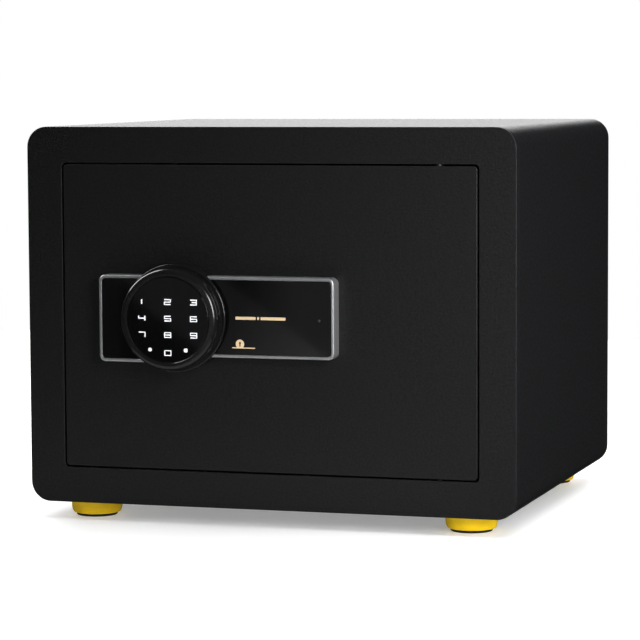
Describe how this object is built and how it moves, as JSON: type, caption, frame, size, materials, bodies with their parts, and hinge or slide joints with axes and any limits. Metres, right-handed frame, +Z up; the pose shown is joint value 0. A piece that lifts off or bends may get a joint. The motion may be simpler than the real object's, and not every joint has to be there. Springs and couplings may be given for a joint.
{
  "type": "in-room safe",
  "caption": "Black steel in-room safe with a hinged door, a keypad knob that throws the bolts, a key override behind a cover, and round feet.",
  "frame": {"origin": "centre of the footprint, on the surface the feet stand on", "axes": "+X to the right, +Y towards the back, +Z up, seen facing the door"},
  "size_m": [0.4, 0.3702, 0.314],
  "materials": {
    "powder_black": "fine-textured matt powder coat",
    "gloss_black": "polished, mirror-like",
    "satin_black": "smooth moulded, semi-gloss",
    "satin_silver": "satin plated",
    "bright_steel": "turned and polished",
    "zinc_steel": "zinc-plated sheet",
    "brass": "machined",
    "yellow_plastic": "moulded, semi-gloss",
    "rubber": "matt",
    "carpet": "short needle-felt pile",
    "dark_plastic": "fine spark texture",
    "board_green": "solder mask",
    "red_plastic": "moulded, semi-gloss",
    "cell_sleeve": "printed sleeve",
    "coil_wrap": "taped winding in a steel frame"
  },
  "bodies": {
    "cabinet": {"front_frame": "powder_black", "body_wrap": "powder_black", "back_panel": "powder_black", "strike_jamb": "powder_black", "door_stop_upper": "powder_black", "door_stop_lower": "powder_black", "stop_buffer_upper": "rubber", "stop_buffer_lower": "rubber", "hinge_lug_upper": "powder_black", "hinge_lug_lower": "powder_black", "floor_mat": "carpet", "foot_front_left": "yellow_plastic", "foot_front_right": "yellow_plastic", "foot_back_left": "yellow_plastic", "foot_back_right": "yellow_plastic", "foot_pad_front_left": "rubber", "foot_pad_front_right": "rubber", "foot_pad_back_left": "rubber", "foot_pad_back_right": "rubber"},
    "door": {"door_plate": "powder_black", "hinge_arm_upper": "powder_black", "hinge_arm_lower": "powder_black", "hinge_pin_upper": "bright_steel", "hinge_pin_lower": "bright_steel", "bolt_guide_upper": "powder_black", "bolt_guide_lower": "powder_black", "mechanism_cover": "powder_black", "cover_screw_1": "bright_steel", "cover_screw_2": "bright_steel", "cover_screw_3": "bright_steel", "cover_screw_4": "bright_steel", "panel_housing": "satin_silver", "fascia_left": "gloss_black", "knob_base": "satin_black", "lock_body": "zinc_steel", "solenoid_body": "coil_wrap", "control_board": "board_green", "battery_tray": "dark_plastic", "battery_cell_1": "cell_sleeve", "battery_cell_2": "cell_sleeve", "battery_cell_3": "cell_sleeve", "battery_cell_4": "cell_sleeve", "battery_lead": "rubber", "solenoid_lead": "rubber"},
    "knob": {"knob_shell": "satin_black", "keypad_lens": "gloss_black", "keypad_board": "board_green", "spindle": "bright_steel", "bolt_cam": "zinc_steel"},
    "bolts": {"bolt_carriage": "zinc_steel", "bolt_upper": "bright_steel", "bolt_lower": "bright_steel"},
    "latch": {"solenoid_plunger": "bright_steel", "solenoid_spring": "bright_steel"},
    "lock_core": {"lock_plug": "brass", "lock_lever": "zinc_steel"},
    "key_cover": {"key_cover": "gloss_black"},
    "battery_lid": {"battery_lid": "dark_plastic"},
    "reset_button": {"reset_button": "red_plastic"}
  },
  "joints": [
    {"name": "door_swing", "type": "hinge", "parent": "cabinet", "child": "door", "pos_m": [0.137, -0.1454, 0.164], "axis": [0, 0, 1], "range_deg": [0, 100]},
    {"name": "knob_turn", "type": "hinge", "parent": "door", "child": "knob", "pos_m": [-0.071, -0.17, 0.165], "axis": [0, -1, 0], "range_deg": [0, 75]},
    {"name": "bolt_slide", "type": "slide", "parent": "door", "child": "bolts", "axis": [-1, 0, 0], "range_m": [0, 0.016]},
    {"name": "latch_slide", "type": "slide", "parent": "door", "child": "latch", "axis": [0, 0, 1], "range_m": [0, 0.004], "deforming": ["solenoid_spring"]},
    {"name": "lock_turn", "type": "hinge", "parent": "door", "child": "lock_core", "pos_m": [0.008, -0.15, 0.165], "axis": [0, 1, 0], "range_deg": [0, 90]},
    {"name": "key_cover_pull", "type": "slide", "parent": "door", "child": "key_cover", "axis": [0, -1, 0], "range_m": [0, 0.025]},
    {"name": "battery_lid_slide", "type": "slide", "parent": "door", "child": "battery_lid", "axis": [1, 0, 0], "range_m": [0, 0.056]},
    {"name": "reset_press", "type": "slide", "parent": "door", "child": "reset_button", "axis": [0, -1, 0], "range_m": [0, 0.002], "stiffness_N_per_m": 300}
  ],
  "couplings": [
    {"joint": "knob_turn", "follows": "bolt_slide", "rad_per_m": 81.81}
  ]
}
